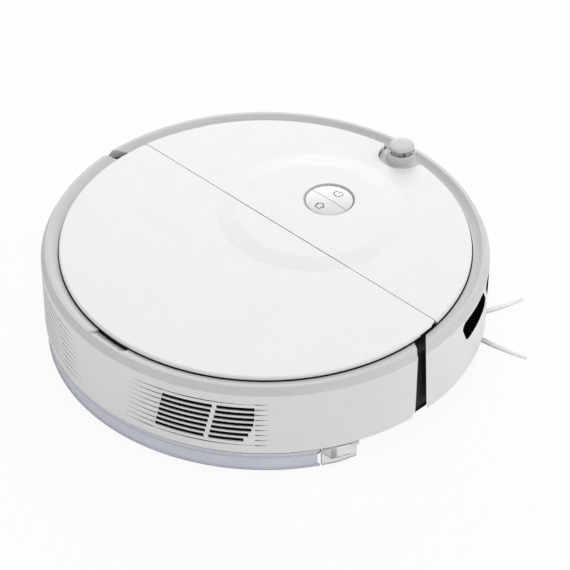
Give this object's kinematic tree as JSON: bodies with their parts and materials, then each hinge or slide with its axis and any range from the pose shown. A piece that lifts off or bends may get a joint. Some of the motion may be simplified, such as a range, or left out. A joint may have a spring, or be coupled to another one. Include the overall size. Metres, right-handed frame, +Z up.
{
  "type": "robot vacuum",
  "caption": "Round floor-cleaning robot with sprung bumper, hinged rear lid, dustbin, brushes, driven wheels and a slide-off mop tank.",
  "frame": {"origin": "on the ground under the middle of the round body", "axes": "+Z up, +Y towards the bumper, +X to the robot's right"},
  "size_m": [0.3524, 0.35, 0.0954],
  "materials": {
    "white_shell": "satin",
    "white_cover": "satin",
    "black_plastic": "matt",
    "grey_plastic": "matt",
    "dark_window": "gloss",
    "clear_plastic": "clear",
    "tank_plastic": "translucent",
    "tyre_rubber": "matt",
    "soft_rubber": "matt",
    "pale_silicone": "matt",
    "steel": "satin",
    "contact_metal": "bright",
    "board_green": "matt",
    "filter_paper": "matt",
    "cloth_blue": "matt"
  },
  "bodies": {
    "chassis": {"chassis_pan_front": "black_plastic", "chassis_pan_rear": "black_plastic", "tank_recess": "black_plastic", "chassis_wall": "black_plastic", "wheel_housings": "black_plastic", "brush_housing": "black_plastic", "caster_housing": "black_plastic", "caster_plate": "black_plastic", "top_deck": "grey_plastic", "rear_shell": "white_shell", "vent_mesh": "black_plastic", "front_cover": "white_cover", "button_bezel": "white_cover", "bump_switches": "black_plastic", "arm_pivots": "steel", "brush_guard": "grey_plastic", "brush_bearings": "grey_plastic", "brush_gearboxes": "grey_plastic", "dustbin": "clear_plastic", "dustbin_lid": "grey_plastic", "filter_frame": "grey_plastic", "filter_pleats": "filter_paper", "fan_housing": "grey_plastic", "fan_motor": "black_plastic", "battery_pack": "black_plastic", "main_board": "board_green", "speaker": "black_plastic", "cliff_sensors": "dark_window", "charging_contacts": "contact_metal"},
    "bumper": {"bumper_shell": "white_shell", "side_window_right": "dark_window", "side_window_left": "dark_window", "front_window": "dark_window", "turret_lens": "clear_plastic", "turret_core": "black_plastic", "turret_cap": "white_shell"},
    "lid": {"rear_lid": "white_cover", "lid_hinge_pins": "steel"},
    "power_key": {"power_button": "white_cover"},
    "home_key": {"home_button": "white_cover"},
    "arm_right": {"wheel_arm_right": "grey_plastic"},
    "arm_left": {"wheel_arm_left": "grey_plastic"},
    "wheel_right": {"drive_wheel_right": "white_shell", "drive_tyre_right": "tyre_rubber"},
    "wheel_left": {"drive_wheel_left": "white_shell", "drive_tyre_left": "tyre_rubber"},
    "caster_swivel": {"caster_fork": "black_plastic", "caster_axle": "steel"},
    "caster_roller": {"caster_wheel": "black_plastic"},
    "main_brush": {"brush_core": "grey_plastic", "brush_blades": "soft_rubber"},
    "side_brush": {"side_brush_hub": "grey_plastic", "side_brush_arms": "pale_silicone"},
    "fan": {"fan_impeller": "grey_plastic"},
    "mop": {"mop_tank": "tank_plastic", "tank_plug": "soft_rubber", "mop_cloth": "cloth_blue"},
    "clip_right": {"tank_clip_right": "clear_plastic"},
    "clip_left": {"tank_clip_left": "clear_plastic"}
  },
  "joints": [
    {"name": "bumper_press", "type": "slide", "parent": "chassis", "child": "bumper", "axis": [0, -1, 0], "range_m": [0, 0.003], "stiffness_N_per_m": 500, "springref_m": -0.003},
    {"name": "lid_hinge", "type": "hinge", "parent": "chassis", "child": "lid", "pos_m": [0, 0.01753, 0.0816], "axis": [-1, 0, 0], "range_deg": [0, 70]},
    {"name": "power_press", "type": "slide", "parent": "chassis", "child": "power_key", "axis": [0, 0, -1], "range_m": [0, 0.0008], "stiffness_N_per_m": 600, "springref_m": -0.001},
    {"name": "home_press", "type": "slide", "parent": "chassis", "child": "home_key", "axis": [0, 0, -1], "range_m": [0, 0.0008], "stiffness_N_per_m": 600, "springref_m": -0.001},
    {"name": "suspension_right", "type": "hinge", "parent": "chassis", "child": "arm_right", "pos_m": [0.095, -0.045, 0.04], "axis": [-1, 0, 0], "range_deg": [0, 35]},
    {"name": "wheel_spin_right", "type": "hinge", "parent": "arm_right", "child": "wheel_right", "pos_m": [0.115, 0, 0.035], "axis": [1, 0, 0], "continuous": true},
    {"name": "suspension_left", "type": "hinge", "parent": "chassis", "child": "arm_left", "pos_m": [-0.095, -0.045, 0.04], "axis": [-1, 0, 0], "range_deg": [0, 35]},
    {"name": "wheel_spin_left", "type": "hinge", "parent": "arm_left", "child": "wheel_left", "pos_m": [-0.115, 0, 0.035], "axis": [1, 0, 0], "continuous": true},
    {"name": "caster_swivel", "type": "hinge", "parent": "chassis", "child": "caster_swivel", "pos_m": [0, 0.125, 0.03], "axis": [0, 0, 1], "continuous": true},
    {"name": "caster_roll", "type": "hinge", "parent": "caster_swivel", "child": "caster_roller", "pos_m": [0, 0.118, 0.013], "axis": [1, 0, 0], "continuous": true},
    {"name": "main_brush_spin", "type": "hinge", "parent": "chassis", "child": "main_brush", "pos_m": [0, 0.047, 0.023], "axis": [1, 0, 0], "continuous": true},
    {"name": "side_brush_spin", "type": "hinge", "parent": "chassis", "child": "side_brush", "pos_m": [0.1059, 0.0975, 0.01], "axis": [0, 0, 1], "continuous": true},
    {"name": "fan_spin", "type": "hinge", "parent": "chassis", "child": "fan", "pos_m": [0.086, -0.092, 0.036], "axis": [0, 0, 1], "continuous": true},
    {"name": "tank_slide", "type": "slide", "parent": "chassis", "child": "mop", "axis": [0, -1, 0], "range_m": [0, 0.1]},
    {"name": "clip_squeeze_right", "type": "slide", "parent": "mop", "child": "clip_right", "axis": [-1, 0, 0], "range_m": [0, 0.002], "stiffness_N_per_m": 600, "springref_m": -0.001},
    {"name": "clip_squeeze_left", "type": "slide", "parent": "mop", "child": "clip_left", "axis": [1, 0, 0], "range_m": [0, 0.002], "stiffness_N_per_m": 600, "springref_m": -0.001}
  ]
}
